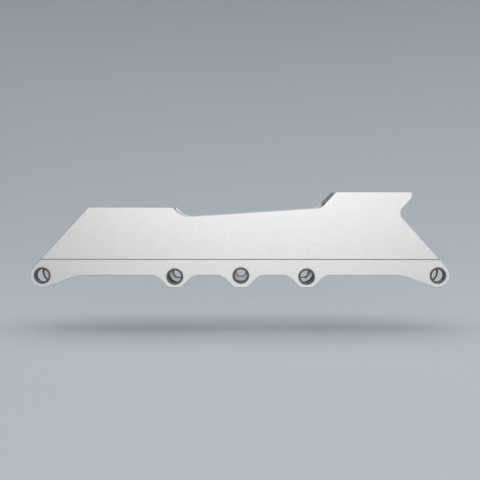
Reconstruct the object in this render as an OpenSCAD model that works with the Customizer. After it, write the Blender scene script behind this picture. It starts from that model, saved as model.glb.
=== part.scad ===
// Inline skate frame: one machined chassis with two boot decks, five axle positions
// with a plain bush on one side and a threaded insert on the other, and a captive
// mounting nut that slides in a slot under each deck.
// Toe towards -X, heel towards +X, up is +Z. The lug feet stand on Z = 0.

/* [Wheel layout] */
// Distance between neighbouring axles when four wheels are fitted
wheel_pitch = 86; // [83:0.5:90]
// Height of the toe, middle and heel axles above the feet of the lugs
axle_h = 7.95; // [7.5:0.05:9]
// How much lower the second and fourth axles sit
rocker_drop = 0.7; // [0:0.05:1.2]
// Largest wheel on the toe, middle and heel axles
large_wheel_d = 100; // [90:1:101]
// Largest wheel on the second and fourth axles
small_wheel_d = 84; // [76:1:85]
// Room left around a wheel in its well
wheel_room = 1; // [0.6:0.1:1.4]

/* [Side walls] */
// Width over both side walls
frame_w = 33; // [31:0.1:36]
// Thickness of a side wall
wall_t = 2.9; // [2.5:0.1:3.6]
// Height of the engraved line above the feet
line_h = 18.55; // [16:0.05:30]
// Width of the engraved line
line_w = 0.6; // [0.4:0.05:1.2]
// Depth of the engraved line
line_depth = 0.2; // [0.1:0.05:0.4]

/* [Lugs] */
// Radius of the toe and heel lugs
end_lug_r = 8.2; // [8:0.05:9.5]
// Width of the flat foot under each middle lug
foot_w = 8.4; // [6:0.1:11]
// Slope of the sides of a middle lug
lug_side_angle = 45; // [40:1:55]
// Height of the bottom edge between the lugs
rail_h = 7.95; // [7:0.05:9.5]
// Fillet where a middle lug runs into the bottom edge
lug_fillet_r = 8.5; // [3:0.1:9]
// Slope of the underside from an end lug up to the bottom edge
end_slope = 20; // [16:0.5:28]
// Fillet where that slope runs into the bottom edge
end_fillet_r = 20; // [5:1:30]
// Rounding of the corners of a foot
foot_corner_r = 0.8; // [0.3:0.1:2]

/* [Decks] */
// Height of the toe deck above the feet
toe_deck_h = 52.25; // [51.5:0.05:58]
// How much higher the heel deck sits
heel_lift = 10.35; // [7:0.05:14]
// Thickness of both decks at their mounting slots
deck_t = 7.5; // [6.5:0.1:8.5]
// Distance of the toe deck's back corner ahead of the middle axle
toe_deck_back = 44.6; // [41:0.1:47]
// Distance of the heel deck's front corner behind the middle axle
heel_deck_front = 62.2; // [58:0.1:66]
// Distance of the heel deck's back face behind the middle axle
heel_deck_back = 112.1; // [108:0.1:116]
// Height of the upright back face under the heel deck
heel_face_h = 3.75; // [2:0.05:5]
// Slope of the toe edge
toe_slope = 47.5; // [45:0.1:50]
// Slope of both edges of the heel notch
heel_slope = 47.7; // [46:0.1:50]
// Slope of the ramp at the back of the toe deck
toe_ramp_slope = 42; // [38:0.1:50]
// Slope of the ramp at the front of the heel deck
heel_ramp_slope = 47.5; // [44:0.1:52]
// Fillet at the bottom of the heel notch
notch_r = 5; // [3:0.1:8]
// Height of the waist between the decks, above the middle axle
waist_h = 48.5; // [45:0.05:49.5]
// Rise of the waist towards the heel
waist_rise = 3.85; // [0:0.05:4.5]
// Fillet at the foot of the toe deck's ramp
toe_ramp_r = 10.5; // [3:0.1:12]
// Fillet at the foot of the heel deck's ramp
heel_ramp_r = 8; // [3:0.1:10]
// Rounding of the corners of the decks
deck_corner_r = 0.6; // [0.2:0.1:1.5]

/* [Axle bushes and inserts] */
// Axle diameter, the bore of a bush
axle_d = 8; // [7:0.1:8.4]
// Minor diameter of the axle thread, the bore of an insert
thread_d = 6.6; // [6:0.1:7.2]
// Outside diameter of a bush or insert in the wall
bush_d = 10.7; // [10:0.1:11.2]
// Diameter of the inner flange that meets the wheel bearing
flange_d = 12.4; // [11.8:0.1:13]
// How far that flange stands off the wall
flange_t = 1.5; // [1:0.1:1.8]
// How far the outer end of a bush sits below the wall's face
bush_recess = 0.3; // [0.1:0.05:0.6]
// Chamfer at the mouth of a bore
mouth_chamfer = 0.4; // [0.2:0.05:0.5]
// Chamfer on the wall around a bush
seat_chamfer = 0.2; // [0.1:0.05:0.5]

/* [Boot mount] */
// Distance between the toe and heel mounting nuts
mount_spacing = 165; // [160:1:168]
// Distance of the toe mounting nut ahead of the middle axle
toe_mount = 79; // [77:0.5:82]
// How far a nut slides each way along its slot
slot_travel = 4; // [2:0.5:5]
// Outside diameter of a nut's sleeve
sleeve_d = 9; // [8.6:0.1:10]
// Minor diameter of the mounting thread
mount_thread_d = 5; // [4.2:0.1:5.4]
// Diameter of a nut's head
nut_head_d = 13; // [12:0.1:14]
// Thickness of a nut's head
nut_head_t = 2.4; // [2:0.1:3]
// Width across the flats of the hexagon socket in the head
socket_w = 6; // [5.6:0.1:7]
// Depth of that socket
socket_depth = 2; // [1.2:0.1:2.2]
// How far the end of the sleeve stays below the deck
sleeve_drop = 0.6; // [0.3:0.1:1]
// Outside diameter of a washer
washer_d = 15; // [14.5:0.1:16]
// Thickness of a washer
washer_t = 1.2; // [0.8:0.1:1.6]
// Outside diameter of a retaining ring
ring_d = 12; // [11.4:0.1:13]
// Thickness of a retaining ring
ring_t = 0.8; // [0.6:0.05:1]
// Depth of the ring's groove in the sleeve
ring_groove = 0.5; // [0.3:0.05:0.7]
// Opening of a retaining ring
ring_gap = 5; // [3:0.1:6]
// Depth of the ring's recess in the deck
recess_depth = 2.2; // [2:0.1:2.8]

/* [Fits] */
// Gap around a seated bush
seat_gap = 0.02; // [0.01:0.01:0.04]
// Gap between faces that slide on each other
slide_gap = 0.05; // [0.02:0.01:0.1]
// Side clearance of what slides in a slot
slot_room = 0.3; // [0.2:0.05:0.5]

/* [Hidden] */
$fn = 96;
// Largest angle between the points of a rounded corner
arc_step = 6;
// How far a cut runs past the surface that it opens
overcut = 1;
// How far the back end of the toe deck stays ahead of its corner
deck_setback = 0.5;

heel_deck_h = toe_deck_h + heel_lift;
heel_mount = mount_spacing - toe_mount;
inner_w = frame_w - 2 * wall_t;
bush_len = flange_t + wall_t - bush_recess;

AXLES = [1, 2, 3, 4, 5];
axle_x = [for (step = [-1.5, -0.5, 0, 0.5, 1.5]) step * wheel_pitch];
axle_z = [for (i = AXLES) i % 2 == 0 ? axle_h - rocker_drop : axle_h];
well_r = [for (i = AXLES) (i % 2 == 0 ? small_wheel_d : large_wheel_d) / 2 + wheel_room];

BUSHES = [for (i = AXLES) str("axle_bush_", i)];
INSERTS = [for (i = AXLES) str("axle_insert_", i)];

// A unit direction in the side view, from its angle
function heading(angle) = [cos(angle), sin(angle)];

// Where two lines in the side view cross, each given by a point and an angle
function crossing(p, angle_p, q, angle_q) =
    let (u = heading(angle_p), v = heading(angle_q), d = q - p)
    p + u * (d.x * v.y - d.y * v.x) / (u.x * v.y - u.y * v.x);

// The points of one corner rounded to a radius, between its two neighbours
function rounded_corner(before, corner, after, r) =
    let (
        a = (before - corner) / norm(before - corner),
        b = (after - corner) / norm(after - corner),
        half = acos(a * b) / 2,
        centre = corner + (a + b) / norm(a + b) * r / sin(half),
        start = corner + a * r / tan(half) - centre,
        end = corner + b * r / tan(half) - centre,
        from = atan2(start.y, start.x),
        sweep = (atan2(end.y, end.x) - from + 540) % 360 - 180,
        steps = max(2, ceil(abs(sweep) / arc_step))
    )
    [for (i = [0 : steps]) centre + r * heading(from + sweep * i / steps)];

// A closed outline from corners given as [x, z, radius]
function rounded_outline(corners) =
    let (n = len(corners), at = [for (c = corners) [c.x, c.y]])
    [for (i = [0 : n - 1]) each rounded_corner(at[(i + n - 1) % n], at[i], at[(i + 1) % n], corners[i].z)];

// Centre of the rounding of an end lug: side is -1 at the toe and 1 at the heel
function end_lug_centre(side) =
    [side * (axle_x[4] - (end_lug_r - axle_h)), end_lug_r];

// A point on the line that touches an end lug from above, at the slope of that end
function end_edge_point(side, slope) =
    end_lug_centre(side) + end_lug_r * [side * sin(slope), cos(slope)];

// A point on the line that touches an end lug from below
function end_under_point(side) =
    end_lug_centre(side) + end_lug_r * [-side * sin(end_slope), -cos(end_slope)];

// Corners of one end: the lug itself and the start of the bottom edge
function end_lug_corner(side, slope) =
    crossing(end_edge_point(side, slope), -side * slope, end_under_point(side), -side * end_slope);
function rail_end(side) = crossing(end_under_point(side), -side * end_slope, [0, rail_h], 0);

// The four corners under one middle axle
function middle_lug(x) =
    let (half_foot = foot_w / 2, half_top = half_foot + rail_h / tan(lug_side_angle))
    [
        [x - half_top, rail_h, lug_fillet_r],
        [x - half_foot, 0, foot_corner_r],
        [x + half_foot, 0, foot_corner_r],
        [x + half_top, rail_h, lug_fillet_r],
    ];

function with_radius(p, r) = [p.x, p.y, r];

toe_corner = crossing(end_edge_point(-1, toe_slope), toe_slope, [0, toe_deck_h], 0);
toe_ramp_top = [-toe_deck_back, toe_deck_h];
toe_ramp_foot = crossing(toe_ramp_top, -toe_ramp_slope, [0, waist_h], waist_rise);
heel_ramp_top = [heel_deck_front, heel_deck_h];
heel_ramp_foot = crossing(heel_ramp_top, heel_ramp_slope, [0, waist_h], waist_rise);
heel_face_foot = [heel_deck_back, heel_deck_h - heel_face_h];
notch = crossing(heel_face_foot, heel_slope, end_edge_point(1, heel_slope), -heel_slope);

side_outline = rounded_outline([
    with_radius(end_lug_corner(-1, toe_slope), end_lug_r),
    with_radius(rail_end(-1), end_fillet_r),
    each middle_lug(axle_x[1]),
    each middle_lug(axle_x[2]),
    each middle_lug(axle_x[3]),
    with_radius(rail_end(1), end_fillet_r),
    with_radius(end_lug_corner(1, heel_slope), end_lug_r),
    with_radius(notch, notch_r),
    with_radius(heel_face_foot, deck_corner_r),
    [heel_deck_back, heel_deck_h, deck_corner_r],
    with_radius(heel_ramp_top, deck_corner_r),
    with_radius(heel_ramp_foot, heel_ramp_r),
    with_radius(toe_ramp_foot, toe_ramp_r),
    with_radius(toe_ramp_top, deck_corner_r),
    with_radius(toe_corner, deck_corner_r),
]);

// Turns a side view into a solid of a given width, centred on the middle plane
module across(width) {
    rotate([90, 0, 0])
        linear_extrude(height = width, center = true)
            children();
}

// Everything between the walls that is not deck, seen from the side
module channel_profile() {
    reach = axle_x[4] + 2 * end_lug_r;
    sky = heel_deck_h + overcut;
    deck_end = -toe_deck_back - deck_setback;
    polygon([
        [-reach, -overcut],
        [reach, -overcut],
        [reach, heel_deck_h - deck_t],
        [heel_ramp_foot.x, heel_deck_h - deck_t],
        [heel_ramp_foot.x, sky],
        [deck_end, sky],
        [deck_end, toe_deck_h - deck_t],
        [-reach, toe_deck_h - deck_t],
    ]);
    for (k = [0 : 4])
        translate([axle_x[k], axle_z[k]])
            circle(r = well_r[k]);
}

// A slot outline with round ends, along X
module stadium(width, travel) {
    square([2 * travel, width], center = true);
    for (side = [-1, 1])
        translate([side * travel, 0])
            circle(d = width);
}

// The stepped slot for a mounting nut, cut down from the top of a deck
module mount_slot(x, top) {
    translate([x, 0, top - deck_t - overcut])
        linear_extrude(height = deck_t + 2 * overcut)
            stadium(sleeve_d + 2 * slot_room, slot_travel);
    translate([x, 0, top - recess_depth])
        linear_extrude(height = recess_depth + overcut)
            stadium(ring_d + 2 * slot_room, slot_travel);
}

// The stepped holes in both walls for one axle's bush and insert
module axle_seats(k) {
    seat_r = bush_d / 2 + seat_gap;
    translate([axle_x[k], 0, axle_z[k]])
        for (turn = [90, -90])
            rotate([turn, 0, 0]) {
                translate([0, 0, inner_w / 2 - overcut])
                    cylinder(h = wall_t + 2 * overcut, r = seat_r);
                translate([0, 0, frame_w / 2 - seat_chamfer])
                    cylinder(h = 2 * seat_chamfer, r1 = seat_r, r2 = seat_r + 2 * seat_chamfer);
            }
}

// The engraved line along both outer faces
module engraved_lines() {
    for (side = [-1, 1])
        translate([0, side * frame_w / 2, line_h])
            cube([3 * axle_x[4], 2 * line_depth, line_w], center = true);
}

module chassis() {
    color("silver")
        difference() {
            across(frame_w) polygon(side_outline);
            across(inner_w) channel_profile();
            for (k = [0 : 4]) axle_seats(k);
            mount_slot(-toe_mount, toe_deck_h);
            mount_slot(heel_mount, heel_deck_h);
            engraved_lines();
        }
}

// A flanged sleeve along +Z, its flange face at Z = 0 and its outer end chamfered
module flanged_sleeve(bore_d, inner_chamfer) {
    bore_r = bore_d / 2;
    difference() {
        union() {
            cylinder(h = flange_t, d = flange_d);
            cylinder(h = bush_len, d = bush_d);
        }
        translate([0, 0, -overcut])
            cylinder(h = bush_len + 2 * overcut, r = bore_r);
        translate([0, 0, bush_len - mouth_chamfer])
            cylinder(h = 2 * mouth_chamfer, r1 = bore_r, r2 = bore_r + 2 * mouth_chamfer);
        if (inner_chamfer > 0)
            translate([0, 0, -inner_chamfer])
                cylinder(h = 2 * inner_chamfer, r1 = bore_r + 2 * inner_chamfer, r2 = bore_r);
    }
}

module axle_bush(k) {
    color("dimgray")
        translate([axle_x[k], -(inner_w / 2 - flange_t), axle_z[k]])
            rotate([90, 0, 0])
                flanged_sleeve(axle_d, 0);
}

module axle_insert(k) {
    color("lightsteelblue")
        translate([axle_x[k], inner_w / 2 - flange_t, axle_z[k]])
            rotate([-90, 0, 0])
                flanged_sleeve(thread_d, mouth_chamfer);
}

// A sleeve nut at X, its head under the deck and its sleeve up in the slot
module mount_nut(x, top) {
    head_top = top - deck_t - washer_t - 2 * slide_gap;
    head_foot = head_top - nut_head_t;
    sleeve_top = top - sleeve_drop;
    groove_foot = top - recess_depth;
    groove_h = ring_t + 2 * slide_gap;
    color("gray")
        translate([x, 0, 0])
            difference() {
                union() {
                    translate([0, 0, head_foot]) cylinder(h = nut_head_t, d = nut_head_d);
                    translate([0, 0, head_foot]) cylinder(h = sleeve_top - head_foot, d = sleeve_d);
                }
                translate([0, 0, head_foot - overcut])
                    cylinder(h = sleeve_top - head_foot + 2 * overcut, d = mount_thread_d);
                translate([0, 0, head_foot - overcut])
                    cylinder(h = socket_depth + overcut, d = socket_w / cos(30), $fn = 6);
                translate([0, 0, groove_foot])
                    difference() {
                        cylinder(h = groove_h, d = sleeve_d + 2 * overcut);
                        translate([0, 0, -overcut])
                            cylinder(h = groove_h + 2 * overcut, d = sleeve_d - 2 * ring_groove);
                    }
            }
}

module mount_washer(x, top) {
    color("lightgray")
        translate([x, 0, top - deck_t - washer_t - slide_gap])
            difference() {
                cylinder(h = washer_t, d = washer_d);
                translate([0, 0, -overcut])
                    cylinder(h = washer_t + 2 * overcut, d = sleeve_d + slot_room);
            }
}

module mount_ring(x, top) {
    ring_hole = sleeve_d - 2 * ring_groove + 2 * slide_gap;
    color("darkslategray")
        translate([x, 0, top - recess_depth + slide_gap])
            difference() {
                cylinder(h = ring_t, d = ring_d);
                translate([0, 0, -overcut])
                    cylinder(h = ring_t + 2 * overcut, d = ring_hole);
                translate([0, -ring_gap / 2, -overcut])
                    cube([ring_d, ring_gap, ring_t + 2 * overcut]);
            }
}

chassis();
for (k = [0 : 4]) {
    axle_bush(k);
    axle_insert(k);
}
mount_nut(-toe_mount, toe_deck_h);  // toe_mount_nut
mount_washer(-toe_mount, toe_deck_h);  // toe_mount_washer
mount_ring(-toe_mount, toe_deck_h);  // toe_mount_ring
mount_nut(heel_mount, heel_deck_h);  // heel_mount_nut
mount_washer(heel_mount, heel_deck_h);  // heel_mount_washer
mount_ring(heel_mount, heel_deck_h);  // heel_mount_ring
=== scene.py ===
"""An inline skate frame in a plain studio.

The chassis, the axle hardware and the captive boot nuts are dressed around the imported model:
the chassis gets broken edges and a blasted skin, and the turned pieces get their threads.
"""

from __future__ import annotations

import logging
import math
from contextlib import contextmanager
from dataclasses import dataclass
from enum import Enum
from typing import Any, Iterator, Mapping, Sequence

import bmesh
import bpy
import numpy as np
from bpy.types import Material, Mesh, Object
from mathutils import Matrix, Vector

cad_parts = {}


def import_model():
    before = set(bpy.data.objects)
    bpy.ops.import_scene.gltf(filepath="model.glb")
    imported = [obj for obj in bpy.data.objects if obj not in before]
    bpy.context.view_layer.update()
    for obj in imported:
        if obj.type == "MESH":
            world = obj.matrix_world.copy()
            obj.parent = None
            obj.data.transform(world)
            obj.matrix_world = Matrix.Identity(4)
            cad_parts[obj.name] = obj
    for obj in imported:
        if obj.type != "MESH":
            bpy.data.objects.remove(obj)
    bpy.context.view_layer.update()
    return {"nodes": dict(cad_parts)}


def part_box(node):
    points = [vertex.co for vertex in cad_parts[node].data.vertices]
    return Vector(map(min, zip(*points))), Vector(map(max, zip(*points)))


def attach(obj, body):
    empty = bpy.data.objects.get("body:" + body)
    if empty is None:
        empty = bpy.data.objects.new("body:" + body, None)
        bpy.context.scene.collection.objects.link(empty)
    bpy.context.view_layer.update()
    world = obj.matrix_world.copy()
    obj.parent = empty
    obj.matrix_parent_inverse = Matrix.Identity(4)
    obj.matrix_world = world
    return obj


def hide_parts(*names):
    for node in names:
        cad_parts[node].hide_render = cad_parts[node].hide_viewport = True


LOG = logging.getLogger("skate_frame")
MM = 0.001
PHOTO_PX = 480
AXLES = range(1, 6)
ARC_STEPS = 4
ARC_POINTS = ARC_STEPS + 1
INSIDE = "inside"
BORE = "bore"

Triple = tuple[float, float, float]


class Axis(Enum):
    """The line that a turned piece is made around."""

    Y = 1
    Z = 2


class End(Enum):
    """The two ends of the frame, each with its own deck and boot nut."""

    TOE = "toe"
    HEEL = "heel"


class Slot(Enum):
    """Material slots of the pieces."""

    CHASSIS = "chassis"
    BUSH = "bush"
    INSERT = "insert"
    NUT = "nut"
    WASHER = "washer"
    RING = "ring"


class Shade:
    """A shader socket that takes part in Python arithmetic."""

    def __init__(self, shader: Shader, socket: bpy.types.NodeSocket) -> None:
        """Keeps the socket and the tree that it belongs to."""
        self.shader = shader
        self.socket = socket

    def _math(self, operation: str, first: Shade | float, second: Shade | float) -> Shade:
        """Adds one Math node for an operator."""
        return self.shader.node("ShaderNodeMath", {"operation": operation}, {0: first, 1: second})

    def __add__(self, other: Shade | float) -> Shade:
        """Sum."""
        return self._math("ADD", self, other)

    def __radd__(self, other: float) -> Shade:
        """Sum with a number on the left."""
        return self._math("ADD", other, self)

    def __sub__(self, other: Shade | float) -> Shade:
        """Difference."""
        return self._math("SUBTRACT", self, other)

    def __rsub__(self, other: float) -> Shade:
        """Difference from a number."""
        return self._math("SUBTRACT", other, self)

    def __mul__(self, other: Shade | float) -> Shade:
        """Product."""
        return self._math("MULTIPLY", self, other)

    def __rmul__(self, other: float) -> Shade:
        """Product with a number on the left."""
        return self._math("MULTIPLY", other, self)

    def __lt__(self, other: Shade | float) -> Shade:
        """One where the value is less, and zero elsewhere."""
        return self._math("LESS_THAN", self, other)

    def __gt__(self, other: Shade | float) -> Shade:
        """One where the value is greater, and zero elsewhere."""
        return self._math("GREATER_THAN", self, other)

    def __abs__(self) -> Shade:
        """Size without its sign."""
        return self._math("ABSOLUTE", self, 0.0)


class Shader:
    """The node tree of one material."""

    MIX_COLOUR_A = 6
    MIX_COLOUR_B = 7
    MIX_COLOUR_OUT = 2

    def __init__(self, name: str) -> None:
        """Starts an empty tree.

        Args:
            name: Name of the material.
        """
        self.material = bpy.data.materials.new(name)
        self.material.use_nodes = True
        self.tree = self.material.node_tree
        self.tree.nodes.clear()

    def node(
        self,
        kind: str,
        settings: Mapping[str, Any] | None = None,
        sockets: Mapping[str | int, Any] | None = None,
        output: str | int = 0,
    ) -> Shade:
        """Adds one node, sets it and links it.

        Args:
            kind: Blender's type name of the node.
            settings: Properties of the node, set first.
            sockets: Values of the inputs, or the shades that feed them.
            output: The output that is returned.

        Returns:
            The chosen output.
        """
        made = self.tree.nodes.new(kind)
        for name, value in (settings or {}).items():
            setattr(made, name, value)
        for name, value in (sockets or {}).items():
            if isinstance(value, Shade):
                self.tree.links.new(value.socket, made.inputs[name])
            else:
                made.inputs[name].default_value = value
        return Shade(self, made.outputs[output])

    def coordinates(self, output: str) -> Shade:
        """Object or UV coordinates of the piece."""
        return self.node("ShaderNodeTexCoord", output=output)

    def parts(self, vector: Shade) -> tuple[Shade, Shade, Shade]:
        """The three numbers of a vector."""
        split = self.node("ShaderNodeSeparateXYZ", sockets={0: vector}).socket.node
        return tuple(Shade(self, out) for out in split.outputs)

    def noise(self, vector: Shade, size: float, detail: float = 2.0, grit: float = 0.5) -> Shade:
        """Even noise about one half.

        Args:
            vector: Coordinates that the noise follows.
            size: Length of one grain in those coordinates.
            detail: Number of finer layers.
            grit: Strength of each finer layer as a share of the one before.

        Returns:
            The noise value.
        """
        sockets = {"Vector": vector, "Scale": 1.0 / size, "Detail": detail, "Roughness": grit}
        return self.node("ShaderNodeTexNoise", None, sockets)

    def varied(self, *swings: tuple[Shade, float], middle: float = 0.5) -> Shade:
        """A value that noises push up and down.

        Each noise adds its distance from one half, times its own swing, to the middle value.

        Args:
            swings: Each noise with its swing.
            middle: The value where every noise is one half.

        Returns:
            The varied value.
        """
        start = middle - sum(swing for _, swing in swings) / 2
        return sum((noise * swing for noise, swing in swings), start)

    def scaled(self, vector: Shade, factors: Triple) -> Shade:
        """A vector with each part multiplied by its own factor."""
        return self.node("ShaderNodeVectorMath", {"operation": "MULTIPLY"}, {0: vector, 1: factors})

    def tinted(self, factor: Shade, low: Shade | Triple, high: Shade | Triple) -> Shade:
        """A colour between two colours, by a factor.

        Args:
            factor: Share of the second colour.
            low: The first colour.
            high: The second colour.

        Returns:
            The mixed colour.
        """
        first, second = (end if isinstance(end, Shade) else (*end, 1.0) for end in (low, high))
        sockets = {0: factor, self.MIX_COLOUR_A: first, self.MIX_COLOUR_B: second}
        return self.node("ShaderNodeMix", {"data_type": "RGBA"}, sockets, self.MIX_COLOUR_OUT)

    def faded(self, value: Shade, ends: tuple[float, float]) -> Shade:
        """A share that rises evenly from 0 at the first end to 1 at the second."""
        sockets = {"Value": value, "From Min": ends[0], "From Max": ends[1]}
        return self.node("ShaderNodeMapRange", None, sockets)

    def attribute(self, name: str) -> Shade:
        """A number that the piece's mesh carries."""
        return self.node("ShaderNodeAttribute", {"attribute_name": name}, output="Fac")

    def bump(self, height: Shade, depth: float) -> Shade:
        """A normal bent by a height from 0 to 1 that is a real depth in metres."""
        sockets = {"Height": height, "Strength": 1.0, "Distance": depth}
        return self.node("ShaderNodeBump", None, sockets, "Normal")

    def finish(self, **sockets: Any) -> Material:
        """Ends the tree in a Principled shader.

        Args:
            sockets: Inputs of that shader, with underscores for spaces.

        Returns:
            The finished material.
        """
        named = {name.replace("_", " "): value for name, value in sockets.items()}
        surface = self.node("ShaderNodeBsdfPrincipled", None, named)
        out = self.tree.nodes.new("ShaderNodeOutputMaterial")
        self.tree.links.new(surface.socket, out.inputs["Surface"])
        return self.material


@dataclass(frozen=True)
class BlastedAluminium:
    """Anodised aluminium: blasted outside, as milled inside with painted shade of the channel, with an
    etched line on both outer faces.
    """

    line_h: float
    line_w: float
    face_y: float
    inner_y: float
    light: Triple = (0.800, 0.798, 0.790)
    dark: Triple = (0.690, 0.690, 0.688)
    roughness: float = 0.46
    bead: float = 0.28 * MM
    bead_depth: float = 0.012 * MM
    bead_rough: float = 0.10
    speckle: float = 0.45 * MM
    speckle_grit: float = 0.75
    speckle_grey: float = 4.60
    speckle_rough: float = 0.06
    cloud: float = 7.0 * MM
    cloud_grey: float = 0.20
    etched: Triple = (0.330, 0.330, 0.335)
    etched_rough: float = 0.20
    line_reach: float = 0.35 * MM
    # Painted shade: the inside tones are far darker than the outside to stand in for the shade between the
    # walls.
    milled_shade_light: Triple = (0.400, 0.385, 0.370)
    milled_shade_dark: Triple = (0.280, 0.270, 0.260)
    milled_roughness: float = 0.36
    milled_cloud: float = 0.30
    cutter: float = 0.14 * MM
    cutter_draw: Triple = (0.03, 1.0, 1.0)
    cutter_depth: float = 0.008 * MM
    cutter_grey: float = 1.50
    cutter_rough: float = 0.12
    edge_reach: float = 0.60 * MM
    # The painted shade stops at the walls' upper rims, where the blast reaches in and light falls in.
    blast_and_lit_rim_h: tuple[float, float] = (41.0 * MM, 46.0 * MM)
    # Painted shade: darker still towards the axles, where the lugs and flanges shade the channel.
    axle_shade: Triple = (0.082, 0.079, 0.076)
    axle_shade_h: tuple[float, float] = (30.0 * MM, 9.0 * MM)

    def material(self) -> Material:
        """Beads dent the skin, speckles and soft clouds change its grey, and the etched line is dark.

        Inside, a much darker grey is painted shade of the channel between the walls, and noise drawn out
        along the frame makes the cutter's lines. The blast reaches in over the walls' upper rims, where
        light falls in, so the lines and the painted shade fade there, and painted shade darkens the metal
        further towards the axles, around the lugs.

        Returns:
            The material.
        """
        shader = Shader("blasted_aluminium")
        place = shader.coordinates("Object")
        _, y, z = shader.parts(place)
        bead = shader.noise(place, self.bead, detail=3.0)
        speckle = shader.noise(place, self.speckle, detail=4.0, grit=self.speckle_grit)
        cloud = shader.noise(place, self.cloud)
        grey = shader.varied((speckle, self.speckle_grey), (cloud, self.cloud_grey))
        line = (abs(z - self.line_h) < self.line_w / 2) * (abs(y) > self.face_y - self.line_reach)
        skin = shader.tinted(line, shader.tinted(grey, self.dark, self.light), self.etched)
        dents = ((bead, self.bead_rough), (speckle, self.speckle_rough))
        rough = shader.varied(*dents, middle=self.roughness) + line * self.etched_rough

        cutter = shader.noise(shader.scaled(place, self.cutter_draw), self.cutter)
        milled_grey = shader.varied((cutter, self.cutter_grey), (cloud, self.milled_cloud))
        # Painted shade of the channel, with the cutter's lines in it.
        milled = shader.tinted(milled_grey, self.milled_shade_dark, self.milled_shade_light)
        # Painted shade, deepening towards the axles.
        milled = shader.tinted(shader.faded(z, self.axle_shade_h), milled, self.axle_shade)
        milled_rough = shader.varied((cutter, self.cutter_rough), middle=self.milled_roughness)

        # The walls' inner faces near their upper rims are left out of the painted shade, as lit as the
        # outside.
        wall = abs(abs(y) - self.inner_y) < self.edge_reach
        between = abs(y) < self.inner_y + self.edge_reach
        inside = shader.attribute(INSIDE) * between * (1 - wall * shader.faded(z, self.blast_and_lit_rim_h))
        height = bead * (1 - inside) + cutter * inside * (self.cutter_depth / self.bead_depth)
        return shader.finish(
            Base_Color=shader.tinted(inside, skin, milled),
            Metallic=1.0,
            Roughness=rough * (1 - inside) + milled_rough * inside,
            Normal=shader.bump(height, self.bead_depth),
        )


@dataclass(frozen=True)
class TurnedMetal:
    """Lathe-turned metal: fine rings from the tool, with soft stains along them."""

    name: str
    light: Triple
    dark: Triple
    roughness: float
    metallic: float = 1.0
    ring: float = 0.09 * MM
    ring_draw: Triple = (0.6 * MM, MM, 0.0)
    ring_depth: float = 0.006 * MM
    ring_grey: float = 0.80
    ring_rough: float = 0.14
    stain: float = 1.6 * MM
    stain_grey: float = 0.60
    stain_rough: float = 0.16

    def material(self) -> Material:
        """Noise drawn out round the piece makes the tool rings, and plain noise the stains.

        Returns:
            The material.
        """
        shader = Shader(self.name)
        rings = shader.noise(shader.scaled(shader.coordinates("UV"), self.ring_draw), self.ring)
        stain = shader.noise(shader.coordinates("Object"), self.stain, detail=3.0)
        grey = shader.varied((rings, self.ring_grey), (stain, self.stain_grey))
        wear = ((rings, self.ring_rough), (stain, self.stain_rough))
        plain = {
            "Base_Color": shader.tinted(grey, self.dark, self.light),
            "Metallic": self.metallic,
            "Roughness": shader.varied(*wear, middle=self.roughness),
        }
        normal = shader.bump(rings, self.ring_depth)
        return shader.finish(**self.threaded(shader, grey, plain), Normal=normal)

    def threaded(self, shader: Shader, grey: Shade, plain: dict[str, Any]) -> dict[str, Any]:
        """The same surface all over, where the piece has no thread."""
        return plain


@dataclass(frozen=True)
class PlatedMetal(TurnedMetal):
    """Turned metal with a bright plating, and with unplated, dull threads darkened by painted shade of the
    bore.
    """

    thread_shaded_light: Triple = (0.100, 0.096, 0.090)
    thread_shaded_dark: Triple = (0.040, 0.038, 0.036)
    thread_dull: float = 0.80
    thread_rough: float = 0.30

    def threaded(self, shader: Shader, grey: Shade, plain: dict[str, Any]) -> dict[str, Any]:
        """Takes the plating away where the mesh marks a bore, and paints the bore's shade into the
        threads.

        Args:
            shader: The tree of the material.
            grey: The grey of rings and stains.
            plain: Inputs of the plated surface.

        Returns:
            The inputs with the unplated, shaded threads in them.
        """
        bore = shader.attribute(BORE)
        # Unplated thread, darkened further as painted shade of the bore.
        bare_and_shaded = shader.tinted(grey, self.thread_shaded_dark, self.thread_shaded_light)
        return {
            "Base_Color": shader.tinted(bore, plain["Base_Color"], bare_and_shaded),
            "Metallic": plain["Metallic"] * (1 - bore * self.thread_dull),
            "Roughness": plain["Roughness"] + bore * self.thread_rough,
        }


@dataclass(frozen=True)
class SpringSteel:
    """Phosphated spring steel: a dark, dull crystal skin."""

    light: Triple = (0.115, 0.113, 0.108)
    dark: Triple = (0.050, 0.050, 0.052)
    roughness: float = 0.555
    metallic: float = 0.85
    crystal: float = 0.16 * MM
    crystal_depth: float = 0.010 * MM
    crystal_grey: float = 1.60
    crystal_rough: float = 0.25

    def material(self) -> Material:
        """Crystals change the grey, the gloss and the height together.

        Returns:
            The material.
        """
        shader = Shader("phosphated_spring_steel")
        crystal = shader.noise(shader.coordinates("Object"), self.crystal, detail=4.0)
        return shader.finish(
            Base_Color=shader.tinted(shader.varied((crystal, self.crystal_grey)), self.dark, self.light),
            Metallic=self.metallic,
            Roughness=shader.varied((crystal, self.crystal_rough), middle=self.roughness),
            Normal=shader.bump(crystal, self.crystal_depth),
        )


@dataclass(frozen=True)
class StudioPaper:
    """Pale seamless paper under and behind the object."""

    light: Triple = (0.50, 0.552, 0.600)
    dark: Triple = (0.48, 0.532, 0.580)
    fibre: float = 2.0 * MM
    roughness: float = 0.85
    gloss: float = 0.2

    def material(self) -> Material:
        """Fine fibres in a pale tint.

        Returns:
            The material.
        """
        shader = Shader("studio_paper")
        fibre = shader.noise(shader.coordinates("Object"), self.fibre, detail=3.0)
        return shader.finish(
            Base_Color=shader.tinted(fibre, self.dark, self.light),
            Roughness=self.roughness,
            Specular_IOR_Level=self.gloss,
        )


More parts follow.
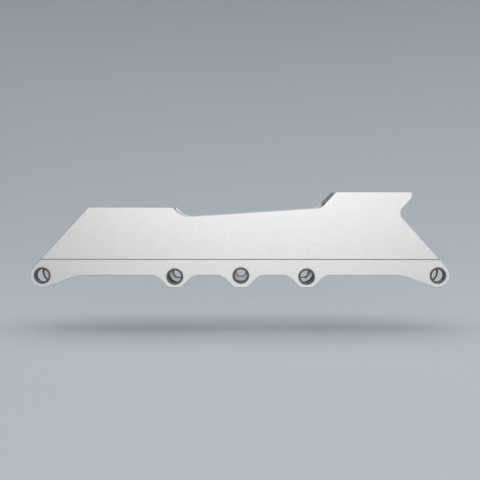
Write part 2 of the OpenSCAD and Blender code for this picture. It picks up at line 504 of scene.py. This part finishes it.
BLACK_OXIDE = TurnedMetal(
    "black_oxide_steel", (0.215, 0.205, 0.190), (0.090, 0.085, 0.079), roughness=0.42, metallic=0.9
)
STAINLESS = TurnedMetal("stainless_washer", (0.64, 0.63, 0.61), (0.48, 0.47, 0.46), roughness=0.36)
NICKEL = PlatedMetal("nickel_plate", (0.90, 0.885, 0.86), (0.78, 0.765, 0.74), roughness=0.24)
ZINC = PlatedMetal("zinc_plate", (0.70, 0.72, 0.75), (0.50, 0.52, 0.55), roughness=0.34)


def placed(name: str, data: bpy.types.ID) -> Object:
    """Makes an object at the origin of the scene.

    Args:
        name: Name of the object.
        data: Its mesh, lamp or lens.

    Returns:
        The new object.
    """
    made = bpy.data.objects.new(name, data)
    bpy.context.scene.collection.objects.link(made)
    return made


@contextmanager
def edited(mesh: Mesh) -> Iterator[bmesh.types.BMesh]:
    """Opens a mesh for editing, and writes it back at the end.

    Args:
        mesh: The mesh that changes.

    Returns:
        Its editable form.
    """
    work = bmesh.new()
    work.from_mesh(mesh)
    yield work
    work.to_mesh(mesh)
    work.free()


def read_numbers(items: bpy.types.bpy_prop_collection, name: str) -> np.ndarray:
    """Reads one property of all items of a mesh.

    Args:
        items: The mesh's points, edges, corners or faces.
        name: The property.

    Returns:
        One number, or one row of numbers, an item.
    """
    first = np.array(getattr(items[0], name))
    kind = np.float32 if first.dtype.kind == "f" else np.int32
    numbers = np.empty(len(items) * first.size, kind)
    items.foreach_get(name, numbers)
    return numbers.reshape(-1, *first.shape)


def write_numbers(mesh: Mesh, name: str, domain: str, numbers: np.ndarray) -> None:
    """Gives the mesh an attribute of one number an item."""
    layer = mesh.attributes.new(name, "FLOAT", domain)
    layer.data.foreach_set("value", numbers.astype(np.float32).ravel())


@dataclass
class Surface:
    """A grid of points with the quads between them.

    The grid runs round the piece along its rows and round the section along its columns. The bore is
    the first column in it, and the first column after it.
    """

    points: np.ndarray
    wrap_rows: bool = True
    wrap_columns: bool = True
    bore: tuple[int, int] | None = None

    def quads(self) -> np.ndarray:
        """Each quad joins a point with the next row and the next column, and faces outwards.

        Returns:
            An array of four point numbers a quad.
        """
        rows, columns = self.points.shape[:2]
        number = np.arange(rows * columns).reshape(rows, columns)
        number = np.vstack([number, number[:1]]) if self.wrap_rows else number
        number = np.hstack([number, number[:, :1]]) if self.wrap_columns else number
        corners = (number[:-1, :-1], number[1:, :-1], number[1:, 1:], number[:-1, 1:])
        quads = np.stack(corners, axis=-1).reshape(-1, 4)
        return quads if self.volume(quads) > 0 else quads[:, ::-1]

    def volume(self, quads: np.ndarray) -> float:
        """Volume inside the quads: the sum of the solids that they span with the middle of the grid.

        Args:
            quads: Four point numbers a quad.

        Returns:
            The volume, below zero where the quads are inside out.
        """
        flat = self.points.reshape(-1, 3)
        a, b, c, d = (flat[quads[:, k]] - flat.mean(0) for k in range(4))
        halves = np.cross(b, c) + np.cross(c, d)
        return float(np.einsum("ij,ij->", a, halves)) / 6

    def mesh(self, name: str) -> Mesh:
        """A smooth mesh of the grid.

        Args:
            name: Name of the mesh.

        Returns:
            The new mesh.
        """
        made = bpy.data.meshes.new(name)
        made.from_pydata(self.points.reshape(-1, 3), [], self.quads())
        made.shade_smooth()
        return made

    def piece(self, name: str) -> Object:
        """Makes a piece of the grid, with its rings and its section as UV, and marks its bore.

        The first number of the UV is the share of a full turn, and the second is the way along the section
        in millimetres.

        Args:
            name: Name of the new piece.

        Returns:
            The new object, at the origin.
        """
        mesh = self.mesh(name)
        rows, columns = self.points.shape[:2]
        row, column = np.divmod(self.quads(), columns)
        row, column = self.unwrapped(row, rows), self.unwrapped(column, columns)
        step = np.linalg.norm(np.diff(self.points, axis=1, append=self.points[:, :1]), axis=2).mean(0)
        length = np.concatenate([[0.0], np.cumsum(step), [step.sum() + step[0]]]) / MM
        uv = np.stack([row / rows, length[column]], axis=-1)
        mesh.uv_layers.new(name="turning").data.foreach_set("uv", uv.astype(np.float32).ravel())
        if self.bore:
            mark = np.zeros((rows, columns))
            mark[:, slice(*self.bore)] = 1.0
            write_numbers(mesh, BORE, "POINT", mark)
        mesh.update()
        made = placed(name, mesh)
        made.modifiers.new("even_normals", "WEIGHTED_NORMAL").keep_sharp = True
        return made

    @staticmethod
    def unwrapped(number: np.ndarray, count: int) -> np.ndarray:
        """Row or column numbers of quads, counted on past the last one in quads that close the grid."""
        return np.where(number.max(1, keepdims=True) - number > count / 2, number + count, number)


def rounded(corners: Sequence[Triple]) -> np.ndarray:
    """Rounds the corners of a closed section.

    Each corner becomes an arc that touches both its edges. The arc turns from the first touching point
    to the second about a centre on the line that halves the corner.

    Args:
        corners: Place along the axis, radius from the axis and rounding of each corner, in order.

    Returns:
        The points of the section, as place and radius, with ARC_POINTS of them at each corner.
    """
    table = np.array(corners, float)
    at, r = table[:, :2], table[:, 2]
    before = np.roll(at, 1, axis=0) - at
    after = np.roll(at, -1, axis=0) - at
    before /= np.linalg.norm(before, axis=1, keepdims=True)
    after /= np.linalg.norm(after, axis=1, keepdims=True)
    half = np.arccos(np.clip((before * after).sum(1), -1, 1)) / 2
    middle = before + after
    centre = at + middle / np.linalg.norm(middle, axis=1, keepdims=True) * (r / np.sin(half))[:, None]
    start = at + before * (r / np.tan(half))[:, None] - centre
    end = at + after * (r / np.tan(half))[:, None] - centre
    turn = (np.pi - 2 * half)[:, None, None]
    share = np.linspace(0, 1, ARC_POINTS)[None, :, None]
    arc = np.sin((1 - share) * turn) * start[:, None] + np.sin(share * turn) * end[:, None]
    return (centre[:, None] + arc / np.sin(turn)).reshape(-1, 2)


def full_turn(steps: int) -> np.ndarray:
    """Even angles once round, one a row."""
    return np.linspace(0, 2 * np.pi, steps, endpoint=False)[:, None]


def spun(section: np.ndarray, radius: np.ndarray, centre: np.ndarray, axis: Axis) -> np.ndarray:
    """Spins a section round an axis.

    Args:
        section: Places along the axis, one a column.
        radius: Distance from the axis, one row an angle and one column a place.
        centre: A point on the axis.
        axis: Direction of the axis.

    Returns:
        The points, one row an angle.
    """
    angle = full_turn(len(radius))
    along = np.broadcast_to(section, radius.shape)
    first, second = radius * np.cos(angle), radius * np.sin(angle)
    if axis is Axis.Y:
        return np.stack([centre[0] + first, along, centre[2] + second], axis=-1)
    return np.stack([centre[0] + first, centre[1] + second, along], axis=-1)


@dataclass(frozen=True)
class Thread:
    """A thread cut into a bore. Its crests and roots are flat."""

    crest_r: float
    pitch: float
    cut: float
    steps: int
    steepness: float = 1.35
    crest: float = 0.12

    def radius(self, place: np.ndarray, angle: np.ndarray, fade: np.ndarray) -> np.ndarray:
        """Radius of the bore: that of the crests plus the groove.

        The groove rises and falls once a pitch, and moves along by one pitch a turn.

        Args:
            place: Places along the axis, one a column.
            angle: Angles round the axis, one a row.
            fade: Share of the full cut at each place.

        Returns:
            The radius at each angle and place.
        """
        phase = place / self.pitch - angle / (2 * np.pi)
        wave = 1 - 2 * np.abs(phase - np.floor(phase) - 0.5)
        return self.crest_r + fade * self.cut * np.clip(self.steepness * wave - self.crest, 0, 1)


def box_of(node: str) -> tuple[np.ndarray, np.ndarray]:
    """Lowest and highest corner of a node of the frame."""
    low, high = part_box(node)
    return np.array(low), np.array(high)


def ready(piece: Object, finish: Material, body: str, node: str) -> None:
    """Dresses a piece and hands it to the frame.

    Args:
        piece: The new piece.
        finish: Its material.
        body: The body that it rides on.
        node: The node of the frame that it stands for.
    """
    piece.data.materials.clear()
    piece.data.materials.append(finish)
    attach(piece, body)
    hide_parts(node)
    LOG.info("%s: %d faces, rides on %s", piece.name, len(piece.data.polygons), body)


@dataclass
class Chassis:
    """The milled chassis: the frame's own shape with every edge broken, and the etched line cut in."""

    axles: np.ndarray
    node: str = "chassis"
    edge_break: float = 0.55 * MM
    edge_steps: int = 2
    seat_break: float = 0.10 * MM
    seat_reach: float = 6.6 * MM
    line_h: float = 18.55 * MM
    line_w: float = 0.60 * MM
    line_floor: float = 0.9
    line_depth: float = 0.20 * MM
    line_over: float = 2.0 * MM
    wall_t: float = 2.90 * MM
    waist: tuple[float, float] = (-45.0 * MM, 63.0 * MM)
    ramp_up: tuple[float, float] = (0.5, 0.76)
    ramp_across: float = 0.1
    channel_up: float = 0.2
    sharp_angle: float = math.radians(25)
    crease_angle: float = math.radians(35)
    flat_angle: float = math.radians(0.3)
    short_edge: float = 0.03 * MM
    slack: float = 1e-5
    grid: float = 1e-6

    def build(self, source: Object) -> Object:
        """Copies the node, breaks its edges and cuts the line.

        Args:
            source: The node's object, which stays as it is.

        Returns:
            The new piece.
        """
        piece = self.plain(*self.merged(source.data))
        self.bevelled(piece)
        self.engraved(piece)
        self.marked(piece.data)
        return piece

    def merged(self, mesh: Mesh) -> tuple[np.ndarray, np.ndarray]:
        """Joins the loose triangles at their corners, with the line's floor brought up to the face.

        Args:
            mesh: The node's mesh.

        Returns:
            The points and the triangles.
        """
        points = read_numbers(mesh.vertices, "co").astype(float)
        corners = read_numbers(mesh.loops, "vertex_index")
        face_y = np.abs(points[:, 1]).max()
        in_line = np.abs(points[:, 2] - self.line_h) < self.line_w / 2 + self.slack
        in_line &= np.abs(points[:, 1]) > face_y - self.line_depth - self.slack
        points[:, 1] = np.where(in_line, np.sign(points[:, 1]) * face_y, points[:, 1])
        steps = np.round(points / self.grid).astype(int)
        steps, number = np.unique(steps, axis=0, return_inverse=True)
        triangles = number.ravel()[corners].reshape(-1, 3)
        a, b, c = triangles.T
        return steps * self.grid, triangles[(a != b) & (b != c) & (c != a)]

    def plain(self, points: np.ndarray, triangles: np.ndarray) -> Object:
        """Makes one closed mesh with whole flat faces, and a bevel weight on each sharp edge.

        Args:
            points: The merged points.
            triangles: Three point numbers a triangle.

        Returns:
            The new object.
        """
        mesh = bpy.data.meshes.new("frame_chassis")
        mesh.from_pydata(points, [], triangles)
        with edited(mesh) as work:
            bmesh.ops.dissolve_degenerate(work, edges=work.edges, dist=self.grid)
            bmesh.ops.dissolve_limit(work, angle_limit=self.flat_angle, verts=work.verts, edges=work.edges)
        write_numbers(mesh, "bevel_weight_edge", "EDGE", self.weights(mesh))
        return placed("frame_chassis", mesh)

    def weights(self, mesh: Mesh) -> np.ndarray:
        """Share of the full edge break at every edge.

        An edge is sharp where the normals of its two faces part by more than the sharp angle. It is hollow
        where their cross product runs against the edge as the first face goes round. Hollow edges, and the
        seats of the axle hardware, stay crisp.

        Args:
            mesh: A closed mesh.

        Returns:
            One share an edge.
        """
        points = read_numbers(mesh.vertices, "co")
        ends = read_numbers(mesh.edges, "vertices")
        normals = read_numbers(mesh.polygons, "normal")
        face = np.repeat(np.arange(len(normals)), read_numbers(mesh.polygons, "loop_total"))
        order = np.argsort(read_numbers(mesh.loops, "edge_index"), kind="stable")
        first, second = normals[face[order].reshape(-1, 2)].transpose(1, 0, 2)
        start = read_numbers(mesh.loops, "vertex_index")[order[::2]]
        along = points[ends.sum(1) - start] - points[start]
        hollow = (np.cross(first, second) * along).sum(1) < 0
        across = points[ends].mean(1)[:, None] - self.axles
        seat = np.hypot(across[..., 0], across[..., 2]).min(1) < self.seat_reach
        sharp = (first * second).sum(1) < math.cos(self.sharp_angle)
        return np.where(sharp, np.where(seat | hollow, self.seat_break / self.edge_break, 1.0), 0.0)

    def bevelled(self, piece: Object) -> None:
        """Rounds every weighted edge, and merges what is left shorter than a hair.

        Args:
            piece: The piece whose edges are broken.
        """
        roll = piece.modifiers.new("edge_break", "BEVEL")
        roll.limit_method = "WEIGHT"
        roll.width = self.edge_break
        roll.segments = self.edge_steps
        roll.use_clamp_overlap = False
        roll.loop_slide = False
        self.applied(piece)
        with edited(piece.data) as work:
            bmesh.ops.remove_doubles(work, verts=work.verts, dist=self.short_edge)

    def engraved(self, piece: Object) -> None:
        """Cuts the etched line out of both outer faces, with sloping sides and past both ends.

        Args:
            piece: The piece that is cut.
        """
        low, high = box_of(self.node)
        half, deep, over = self.line_w / 2, self.line_depth, self.line_over
        floor = [(-deep, -self.line_floor * half), (-deep, self.line_floor * half)]
        section = np.array([*floor, (0, half), (over, half), (over, -half), (0, -half)])
        points = np.empty((2, len(section), 3))
        points[..., 0] = np.array([[low[0] - over], [high[0] + over]])
        points[..., 2] = self.line_h + section[:, 1]
        for face in (low[1], high[1]):
            points[..., 1] = face + math.copysign(1, face) * section[:, 0]
            self.cut(piece, points)
        piece.data.shade_smooth()
        piece.data.set_sharp_from_angle(angle=self.crease_angle)
        piece.modifiers.new("even_normals", "WEIGHTED_NORMAL").keep_sharp = True

    def cut(self, piece: Object, points: np.ndarray) -> None:
        """Takes a bar with flat ends out of the piece.

        Args:
            piece: The piece that is cut.
            points: The bar's two end sections.
        """
        count = points.shape[1]
        sides = Surface(points, wrap_rows=False).quads()
        ends = [list(range(count)), list(range(2 * count - 1, count - 1, -1))]
        mesh = bpy.data.meshes.new("line_cutter")
        mesh.from_pydata(points.reshape(-1, 3), [], [*sides.tolist(), *ends])
        with edited(mesh) as work:
            bmesh.ops.recalc_face_normals(work, faces=work.faces)
        bar = placed("line_cutter", mesh)
        cut = piece.modifiers.new("line", "BOOLEAN")
        cut.operation = "DIFFERENCE"
        cut.object = bar
        cut.solver = "EXACT"
        self.applied(piece)
        bpy.data.objects.remove(bar)

    def marked(self, mesh: Mesh) -> None:
        """Marks the faces that stay as milled, which also take the painted shade of the channel.

        In the wheel channel they lie between the walls, with the walls' broken inner edges, and don't face
        up. On the ramps they slant between the two decks and face neither side.

        Args:
            mesh: The finished mesh.
        """
        y = np.abs(read_numbers(mesh.vertices, "co")[:, 1])
        corners = y[read_numbers(mesh.loops, "vertex_index")]
        reach = np.maximum.reduceat(corners, read_numbers(mesh.polygons, "loop_start"))
        x = read_numbers(mesh.polygons, "center")[:, 0]
        _, across, up = read_numbers(mesh.polygons, "normal").T
        inner_y = y.max() - self.wall_t
        channel = (reach < inner_y + self.edge_break + self.slack) & (up < self.channel_up)
        slant = (up > self.ramp_up[0]) & (up < self.ramp_up[1]) & (np.abs(across) < self.ramp_across)
        ramp = slant & (x > self.waist[0]) & (x < self.waist[1])
        write_numbers(mesh, INSIDE, "FACE", channel | ramp)

    @staticmethod
    def applied(piece: Object) -> None:
        """Keeps what the modifiers make as the piece's own mesh.

        Args:
            piece: The piece with modifiers.
        """
        graph = bpy.context.evaluated_depsgraph_get()
        mesh = bpy.data.meshes.new_from_object(piece.evaluated_get(graph))
        piece.modifiers.clear()
        piece.data = mesh

    def finish(self) -> BlastedAluminium:
        """The chassis's own skin, with the line where it is cut."""
        face_y = float(box_of(self.node)[1][1])
        return BlastedAluminium(self.line_h, self.line_w, face_y, face_y - self.wall_t)


@dataclass
class AxleHardware:
    """The flanged bush and the threaded insert of one axle."""

    number: int
    barrel_r: float = 5.35 * MM
    flange_t: float = 1.5 * MM
    bore_r: float = 4.0 * MM
    thread: Thread = Thread(crest_r=3.3 * MM, pitch=1.25 * MM, cut=0.60 * MM, steps=84)
    chamfer: float = 0.40 * MM
    rounding: float = 0.12 * MM
    segments: int = 144

    def outside(self, node: str) -> tuple[np.ndarray, float, list[Triple]]:
        """The outside of a flanged piece, from its flange face to its outer end.

        Args:
            node: The piece's node.

        Returns:
            The centre, the direction of the outer end, and the section's outer corners.
        """
        low, high = box_of(node)
        inner, outer = (high[1], low[1]) if high[1] < 0 else (low[1], high[1])
        flange_r, out = (high[0] - low[0]) / 2, math.copysign(1, outer)
        step = inner + out * self.flange_t
        corners = [
            (inner, flange_r, 2 * self.rounding),
            (step, flange_r, self.rounding),
            (step, self.barrel_r, self.rounding / 2),
            (outer, self.barrel_r, self.rounding),
        ]
        return (low + high) / 2, out, corners

    def bush(self) -> Object:
        """A plain bush: a flanged barrel with a chamfered bore, spun round the axle.

        Returns:
            The new piece.
        """
        centre, out, corners = self.outside(f"axle_bush_{self.number}")
        inner, outer = corners[0][0], corners[-1][0]
        inside = [
            (outer, self.bore_r + self.chamfer, self.rounding / 2),
            (outer - out * self.chamfer, self.bore_r, self.rounding / 2),
            (inner, self.bore_r, self.rounding),
        ]
        section = rounded(corners + inside)
        radius = np.tile(section[:, 1], (self.segments, 1))
        return Surface(spun(section[:, 0], radius, centre, Axis.Y)).piece(f"turned_bush_{self.number}")

    def insert(self) -> Object:
        """A threaded insert: the same barrel with a helical groove in its bore.

        The groove fades out towards the chamfers at both ends.

        Returns:
            The new piece.
        """
        centre, out, corners = self.outside(f"axle_insert_{self.number}")
        inner, outer = corners[0][0], corners[-1][0]
        first, last = outer - out * self.chamfer, inner + out * self.chamfer
        crest_r, soft = self.thread.crest_r, self.rounding / 2
        inside = [
            (outer, crest_r + self.chamfer, soft),
            (first, crest_r, soft),
            (last, crest_r, soft),
            (inner, crest_r + self.chamfer, soft),
        ]
        ahead, behind = np.split(rounded(corners + inside), [-2 * ARC_POINTS])
        place = np.linspace(ahead[-1, 0], behind[0, 0], self.thread.steps + 2)[1:-1]
        fade = np.clip(np.minimum(np.abs(place - first), np.abs(place - last)) / self.chamfer, 0, 1)
        bore = self.thread.radius(place, out * full_turn(self.segments), fade)
        whole = np.ones((self.segments, 1))
        radius = np.hstack([whole * ahead[:, 1], bore, whole * behind[:, 1]])
        section = np.concatenate([ahead[:, 0], place, behind[:, 0]])
        points = spun(section, radius, centre, Axis.Y)
        threaded = (len(ahead) - ARC_POINTS, len(section) - ARC_STEPS)
        return Surface(points, bore=threaded).piece(f"threaded_insert_{self.number}")

    def build(self, oxide: Material, nickel: Material) -> None:
        """Makes and dresses both pieces.

        Args:
            oxide: Finish of the bush.
            nickel: Finish of the insert.
        """
        ready(self.bush(), oxide, "chassis", f"axle_bush_{self.number}")
        ready(self.insert(), nickel, "chassis", f"axle_insert_{self.number}")


@dataclass
class BootMount:
    """The captive nut of one deck, with its washer and its retaining ring."""

    end: End
    sleeve_r: float = 4.5 * MM
    head_t: float = 2.4 * MM
    groove_r: float = 4.0 * MM
    groove_drop: float = 1.6 * MM
    groove_h: float = 0.9 * MM
    thread: Thread = Thread(crest_r=2.5 * MM, pitch=1.0 * MM, cut=0.45 * MM, steps=120)
    socket_w: float = 6.0 * MM
    socket_depth: float = 2.0 * MM
    socket_lead: float = 1.6
    socket_steps: int = 6
    washer_hole_r: float = 4.65 * MM
    ring_hole_r: float = 4.05 * MM
    ring_gap: float = 5.0 * MM
    chamfer: float = 0.35 * MM
    rounding: float = 0.10 * MM
    segments: int = 144
    same_point: float = 1e-7

    def node(self, kind: str) -> str:
        """Name of one of the mount's nodes."""
        return f"{self.end.value}_mount_{kind}"

    def nut(self) -> Object:
        """A sleeve nut: head, sleeve and ring groove outside, hexagon socket and thread inside.

        In the socket the radius is half its width over the cosine of the angle from the nearest flat.
        The thread starts below the mouth's chamfer.

        Returns:
            The new piece.
        """
        low, high = box_of(self.node("nut"))
        centre, head_r, foot, top = (low + high) / 2, (high[0] - low[0]) / 2, low[2], high[2]
        head_top, groove_foot = foot + self.head_t, top - self.groove_drop
        groove_top = groove_foot + self.groove_h
        mouth, crest_r, soft = 2 * self.chamfer, self.thread.crest_r, self.rounding
        start = top - mouth
        corners = [
            (foot, head_r, 3 * soft),
            (head_top, head_r, 2 * soft),
            (head_top, self.sleeve_r, soft),
            (groove_foot, self.sleeve_r, soft / 2),
            (groove_foot, self.groove_r, soft / 2),
            (groove_top, self.groove_r, soft / 2),
            (groove_top, self.sleeve_r, soft / 2),
            (top, self.sleeve_r, 2 * soft),
            (top, crest_r + mouth, soft),
            (start, crest_r, soft),
            (foot, crest_r, soft),
        ]
        outside = rounded(corners)[:-ARC_POINTS]
        angle = full_turn(self.segments)
        floor = foot + self.socket_depth
        place = np.linspace(outside[-1, 0], floor, self.thread.steps + 1)[1:]
        bore = self.thread.radius(place, angle, np.clip((start - place) / self.chamfer, 0, 1))
        sixth = np.pi / 3
        hexagon = self.socket_w / 2 / np.cos(np.mod(angle, sixth) - sixth / 2)
        wall = np.linspace(floor, foot, self.socket_steps)
        lead = np.clip(self.chamfer - (wall - foot), 0, None) * self.socket_lead
        socket = np.maximum(hexagon, self.socket_w / 2 + lead)
        radius = np.hstack([np.tile(outside[:, 1], (self.segments, 1)), bore, socket])
        section = np.concatenate([outside[:, 0], place, wall])
        points = spun(section, radius, centre, Axis.Z)
        threaded = (len(outside) - ARC_POINTS, len(outside) + len(place))
        return Surface(points, bore=threaded).piece(f"{self.end.value}_sleeve_nut")

    def washer(self) -> Object:
        """A flat washer, rounder on the side that was stamped first.

        Returns:
            The new piece.
        """
        low, high = box_of(self.node("washer"))
        foot, top, soft = low[2], high[2], self.rounding
        centre, outer_r, hole_r = (low + high) / 2, (high[0] - low[0]) / 2, self.washer_hole_r
        outside = [(foot, outer_r, 3 * soft), (top, outer_r, soft)]
        section = rounded([*outside, (top, hole_r, soft), (foot, hole_r, 2 * soft)])
        radius = np.tile(section[:, 1], (self.segments, 1))
        return Surface(spun(section[:, 0], radius, centre, Axis.Z)).piece(f"{self.end.value}_flat_washer")

    def ring(self) -> Object:
        """An open ring: its section is carried from one side of the gap round to the other.

        Each point of the section starts at the angle whose sine is half the gap over its radius, so both
        ends are flat and square to the gap. The first and last sections shrink to a line to close them.

        Returns:
            The new piece.
        """
        low, high = box_of(self.node("ring"))
        foot, top, soft = low[2], high[2], self.rounding
        outer_r, hole_r = (high[1] - low[1]) / 2, self.ring_hole_r
        centre = np.array([low[0] + outer_r, (low[1] + high[1]) / 2, 0.0])
        corners = [(foot, outer_r), (top, outer_r), (top, hole_r), (foot, hole_r)]
        section = rounded([(*corner, soft) for corner in corners])
        middle = np.array([foot + top, outer_r + hole_r]) / 2
        inset = middle + (section - middle) * (1 - 2 * soft / (top - foot))
        seam = np.stack([np.full(len(section), middle[0]), inset[:, 1]], axis=-1)
        whole = np.repeat(section[None], self.segments, axis=0)
        rows = np.concatenate([[seam, inset], whole, [inset, seam]])
        share = np.concatenate([[0, 0], np.linspace(0, 1, self.segments), [1, 1]])[:, None]
        nudge = np.zeros((len(rows), 1))
        nudge[2], nudge[-3] = soft / 2, -soft / 2
        start = np.arcsin((self.ring_gap / 2) / rows[..., 1])
        angle = start + share * (2 * np.pi - 2 * start) + nudge / rows[..., 1]
        first, second = rows[..., 1] * np.cos(angle), rows[..., 1] * np.sin(angle)
        points = np.stack([centre[0] + first, centre[1] + second, rows[..., 0]], axis=-1)
        piece = Surface(points, wrap_rows=False).piece(f"{self.end.value}_retaining_ring")
        with edited(piece.data) as work:
            bmesh.ops.remove_doubles(work, verts=work.verts, dist=self.same_point)
        return piece

    def build(self, finishes: Mapping[Slot, Material]) -> None:
        """Makes and dresses the nut, the washer and the ring.

        Args:
            finishes: The material of each slot.
        """
        slider, turner = f"{self.end.value}_slider", f"{self.end.value}_nut"
        ready(self.nut(), finishes[Slot.NUT], turner, self.node("nut"))
        ready(self.washer(), finishes[Slot.WASHER], slider, self.node("washer"))
        ready(self.ring(), finishes[Slot.RING], turner, self.node("ring"))


@dataclass(frozen=True)
class SoftBox:
    """A rectangular lamp that faces a point."""

    name: str
    place: Triple
    aim: Triple
    size: tuple[float, float]
    watts: float
    colour: Triple = (1.0, 0.968, 0.945)

    def build(self) -> None:
        """Hangs the lamp and turns it to its aim."""
        lamp = bpy.data.lights.new(self.name, "AREA")
        lamp.shape = "RECTANGLE"
        lamp.size, lamp.size_y = self.size
        lamp.energy = self.watts
        lamp.color = self.colour
        made = placed(self.name, lamp)
        made.location = self.place
        direction = Vector(self.aim) - made.location
        made.rotation_euler = direction.to_track_quat("-Z", "Y").to_euler()


@dataclass
class Studio:
    """Pale paper, soft boxes and a levelled camera in front of the frame.

    A wide key hangs in front, a bank overhead and a fill high at each end, in a weak even surround.
    """

    camera_x: float = 2.0 * MM
    camera_h: float = 55.0 * MM
    camera_reach: float = 490.0 * MM
    sensor_w: float = 36.0
    clip_start: float = 0.01
    near_px_per_mm: float = 1.5338
    pan: float = math.radians(0.8)
    roll: float = math.radians(0.094)
    depth_px: tuple[float, float] = (244.0, 203.5)
    hover: float = 29.0 * MM
    flat_r: float = 1.5
    sheet_segments: int = 96
    bend_start: float = 0.10
    bend_length: float = 2.4
    bend_steps: int = 81
    wall_h: float = 1.0
    surround: Triple = (0.95, 0.955, 0.96)
    surround_strength: float = 0.28
    lamps: tuple[SoftBox, ...] = (
        SoftBox("key", (0.09, -1.7, 0.40), aim=(0.03, 0.0, 0.03), size=(1.2, 0.56), watts=9.0),
        SoftBox("bank", (0.1, 0.0, 1.0), aim=(0.1, 0.0, 0.0), size=(2.0, 1.8), watts=12.6),
        SoftBox("toe_fill", (-1.2, -0.3, 0.8), aim=(0.0, 0.0, 0.03), size=(0.8, 0.8), watts=0.7),
        SoftBox("heel_fill", (1.2, -0.3, 0.8), aim=(0.0, 0.0, 0.03), size=(0.8, 0.8), watts=1.9),
    )

    def camera(self, near_y: float) -> None:
        """A camera at deck height, turned slightly towards the heel and rolled by a hair.

        Lines that run away from it meet at one pixel of the photograph. The shift puts that pixel where
        it was, and the lens gives the near wall its scale.

        Args:
            near_y: Place of the near wall's face.
        """
        focal_px = self.near_px_per_mm * self.camera_reach / MM
        lens = bpy.data.cameras.new("camera")
        lens.sensor_width = self.sensor_w
        lens.lens = focal_px / PHOTO_PX * lens.sensor_width
        axis_px = (self.depth_px[0] + focal_px * math.tan(self.pan), self.depth_px[1])
        lens.shift_x = (PHOTO_PX / 2 - axis_px[0]) / PHOTO_PX
        lens.shift_y = (axis_px[1] - PHOTO_PX / 2) / PHOTO_PX
        lens.clip_start = self.clip_start
        made = placed("camera", lens)
        made.location = (self.camera_x, near_y - self.camera_reach, self.camera_h)
        made.rotation_euler = (math.pi / 2, -self.roll, -self.pan)
        bpy.context.scene.camera = made

    def paper(self) -> None:
        """A round sheet that lies flat under the hanging frame, bends up all round and stands.

        Along the bend the slope eases in and out from flat to upright, and the sheet is the running
        sum of short steps along that slope, spun round a middle in front of the frame.
        """
        share = np.linspace(0, 1, self.bend_steps)
        slope = np.pi / 2 * share**2 * (3 - 2 * share)
        step = self.bend_length / self.bend_steps
        run, rise = np.cumsum(step * np.cos(slope)), np.cumsum(step * np.sin(slope))
        reach = np.concatenate([[0.0, self.flat_r], self.flat_r + run, self.flat_r + run[-1:]])
        height = np.concatenate([[0.0, 0.0], rise, rise[-1:] + self.wall_h]) - self.hover
        middle = np.array([0.0, self.bend_start - self.flat_r, 0.0])
        points = spun(height, np.tile(reach, (self.sheet_segments, 1)), middle, Axis.Z)
        floor = placed("paper", Surface(points, wrap_columns=False).mesh("paper"))
        floor.data.materials.append(StudioPaper().material())

    def light(self) -> None:
        """Hangs the lamps and tints the surround."""
        for lamp in self.lamps:
            lamp.build()
        world = bpy.context.scene.world or bpy.data.worlds.new("surround")
        bpy.context.scene.world = world
        world.use_nodes = True
        surround = world.node_tree.nodes["Background"]
        surround.inputs["Color"].default_value = (*self.surround, 1.0)
        surround.inputs["Strength"].default_value = self.surround_strength

    def build(self, near_y: float) -> None:
        """Sets up the paper, the lamps and the camera.

        Args:
            near_y: Place of the near wall's face.
        """
        self.paper()
        self.light()
        self.camera(near_y)
        bpy.context.scene.view_settings.view_transform = "Standard"


def main() -> None:
    """Loads the frame, dresses every piece and sets up the studio."""
    logging.basicConfig(level=logging.INFO, format="%(message)s")
    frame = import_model()
    chassis = Chassis(np.array([sum(box_of(f"axle_bush_{number}")) / 2 for number in AXLES]))
    piece = chassis.build(frame["nodes"][chassis.node])
    ready(piece, chassis.finish().material(), "chassis", chassis.node)
    oxide, nickel = BLACK_OXIDE.material(), NICKEL.material()
    for number in AXLES:
        AxleHardware(number).build(oxide, nickel)
    finishes = {
        Slot.NUT: ZINC.material(),
        Slot.WASHER: STAINLESS.material(),
        Slot.RING: SpringSteel().material(),
    }
    for end in End:
        BootMount(end).build(finishes)
    Studio().build(float(box_of(chassis.node)[0][1]))


if __name__ == "__main__":
    main()
